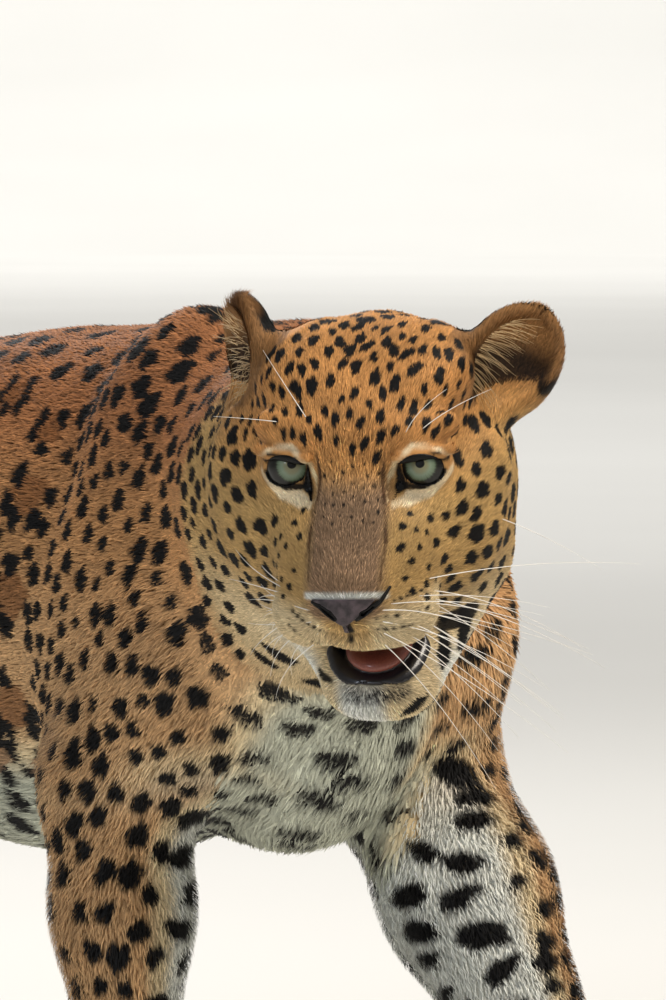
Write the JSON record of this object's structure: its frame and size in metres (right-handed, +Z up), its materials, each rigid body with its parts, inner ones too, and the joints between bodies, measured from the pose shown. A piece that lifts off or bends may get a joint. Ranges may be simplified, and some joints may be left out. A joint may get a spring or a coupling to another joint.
{
  "type": "life-size leopard model",
  "caption": "Life-size still model of a walking leopard with lowered, turned head, slightly open mouth and a hanging tail curled at its tip.",
  "frame": {"origin": "middle of the animal's outline seen from above, on the floor under its feet", "axes": "+Z up, -Y the way the animal walks, +X to its left"},
  "size_m": [0.382, 1.6671, 0.7168],
  "materials": {
    "orange_coat": "short rusty orange fur with near-black rosettes",
    "tan_coat": "short tan fur with near-black spots",
    "cream_coat": "short cream white fur with dark spots",
    "nose_leather": "moist grained nose leather",
    "tongue": "wet tongue",
    "eye": "clear gloss over a grey-green iris"
  },
  "bodies": {
    "root": {"head": "tan_coat", "lower_jaw": "cream_coat", "tongue": "tongue", "nose_pad": "nose_leather", "ear_left": "tan_coat", "ear_right": "tan_coat", "eye_left": "eye", "eye_right": "eye", "neck": "orange_coat", "chest": "orange_coat", "abdomen": "orange_coat", "rump": "orange_coat", "upper_foreleg_left": "tan_coat", "upper_foreleg_right": "tan_coat", "forearm_left": "tan_coat", "forearm_right": "tan_coat", "forepaw_left": "cream_coat", "forepaw_right": "cream_coat", "thigh_left": "orange_coat", "thigh_right": "orange_coat", "shank_left": "tan_coat", "shank_right": "tan_coat", "hindpaw_left": "cream_coat", "hindpaw_right": "cream_coat", "tail_1": "orange_coat", "tail_2": "orange_coat", "tail_3": "tan_coat", "tail_4": "tan_coat"}
  },
  "joints": []
}
